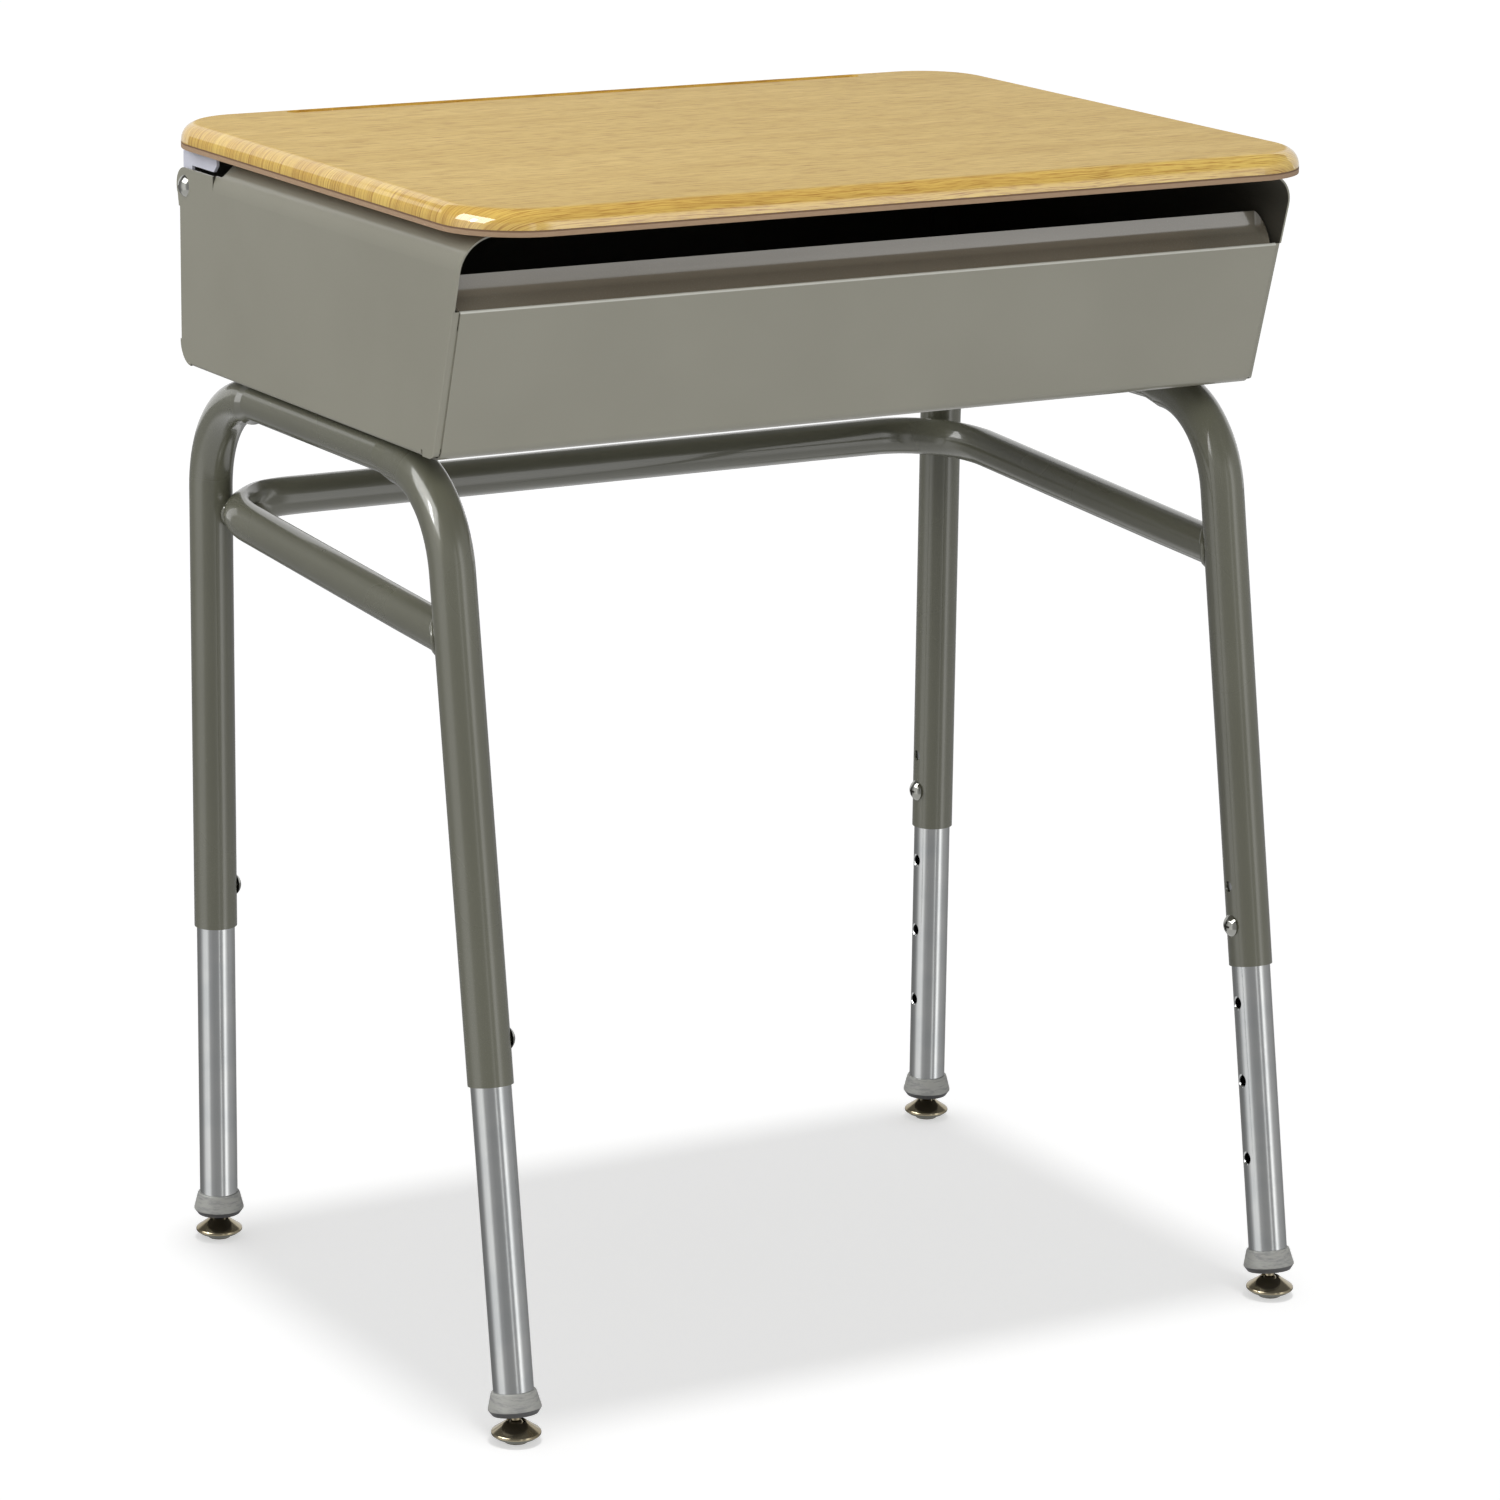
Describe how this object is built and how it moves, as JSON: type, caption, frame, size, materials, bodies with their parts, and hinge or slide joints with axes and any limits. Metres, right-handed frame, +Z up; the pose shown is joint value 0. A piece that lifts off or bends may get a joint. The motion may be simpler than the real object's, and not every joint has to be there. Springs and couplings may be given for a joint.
{
  "type": "school desk with lift lid",
  "caption": "School desk with a rounded laminate lid hinged over a steel book box, pencil tray, tube side frames, U-shaped brace and telescoping legs on swivel glides",
  "frame": {"origin": "on the floor, under the middle of the outline seen from above", "axes": "+X to the seated user's right, +Y away from the user, +Z up"},
  "size_m": [0.6096, 0.4817, 0.762],
  "materials": {
    "grey_paint": "semi-gloss warm grey enamel",
    "laminate": "satin wood-grain laminate",
    "backer": "matt brown edge",
    "zinc": "satin zinc plating",
    "bright_steel": "bright plated steel",
    "chrome": "satin bright plating",
    "nickel": "warm nickel plating",
    "ferrule": "matt grey moulded plastic",
    "nylon": "matt pale nylon",
    "bumper": "matt dark rubber"
  },
  "bodies": {
    "desk_frame": {"box_wrap": "grey_paint", "side_panel_left": "grey_paint", "side_panel_right": "grey_paint", "pencil_tray": "grey_paint", "side_frame_left": "grey_paint", "side_frame_right": "grey_paint", "brace_tube": "grey_paint", "hinge_rivet_left": "bright_steel", "hinge_rivet_right": "bright_steel", "box_screws": "zinc", "lock_screws": "bright_steel", "lid_bumpers": "bumper"},
    "lid": {"lid_board": "laminate", "lid_backer": "backer", "hinge_arm_left": "zinc", "hinge_arm_right": "zinc", "lid_screws": "zinc"},
    "leg_front_left": {"leg_insert_front_left": "chrome", "ferrule_front_left": "ferrule", "glide_stem_front_left": "nickel"},
    "glide_front_left": {"glide_cup_front_left": "nickel", "glide_base_front_left": "nylon"},
    "leg_front_right": {"leg_insert_front_right": "chrome", "ferrule_front_right": "ferrule", "glide_stem_front_right": "nickel"},
    "glide_front_right": {"glide_cup_front_right": "nickel", "glide_base_front_right": "nylon"},
    "leg_rear_left": {"leg_insert_rear_left": "chrome", "ferrule_rear_left": "ferrule", "glide_stem_rear_left": "nickel"},
    "glide_rear_left": {"glide_cup_rear_left": "nickel", "glide_base_rear_left": "nylon"},
    "leg_rear_right": {"leg_insert_rear_right": "chrome", "ferrule_rear_right": "ferrule", "glide_stem_rear_right": "nickel"},
    "glide_rear_right": {"glide_cup_rear_right": "nickel", "glide_base_rear_right": "nylon"}
  },
  "joints": [
    {"name": "lid_hinge", "type": "hinge", "parent": "desk_frame", "child": "lid", "pos_m": [0, 0.20925, 0.7205], "axis": [-1, 0, 0], "range_deg": [0, 100]},
    {"name": "leg_front_left_slide", "type": "slide", "parent": "desk_frame", "child": "leg_front_left", "axis": [0, 0.1616, 0.9869], "range_m": [0, 0.182]},
    {"name": "glide_front_left_tilt", "type": "hinge", "parent": "leg_front_left", "child": "glide_front_left", "pos_m": [-0.2825, -0.22525, 0.0096], "axis": [1, 0, 0], "range_deg": [-24.3, 5.7]},
    {"name": "leg_front_right_slide", "type": "slide", "parent": "desk_frame", "child": "leg_front_right", "axis": [0, 0.1616, 0.9869], "range_m": [0, 0.182]},
    {"name": "glide_front_right_tilt", "type": "hinge", "parent": "leg_front_right", "child": "glide_front_right", "pos_m": [0.2825, -0.22525, 0.0096], "axis": [1, 0, 0], "range_deg": [-24.3, 5.7]},
    {"name": "leg_rear_left_slide", "type": "slide", "parent": "desk_frame", "child": "leg_rear_left", "axis": [0, 0, 1], "range_m": [0, 0.182]},
    {"name": "glide_rear_left_tilt", "type": "hinge", "parent": "leg_rear_left", "child": "glide_rear_left", "pos_m": [-0.2825, 0.20925, 0.0096], "axis": [1, 0, 0], "range_deg": [-15, 15]},
    {"name": "leg_rear_right_slide", "type": "slide", "parent": "desk_frame", "child": "leg_rear_right", "axis": [0, 0, 1], "range_m": [0, 0.182]},
    {"name": "glide_rear_right_tilt", "type": "hinge", "parent": "leg_rear_right", "child": "glide_rear_right", "pos_m": [0.2825, 0.20925, 0.0096], "axis": [1, 0, 0], "range_deg": [-15, 15]}
  ]
}
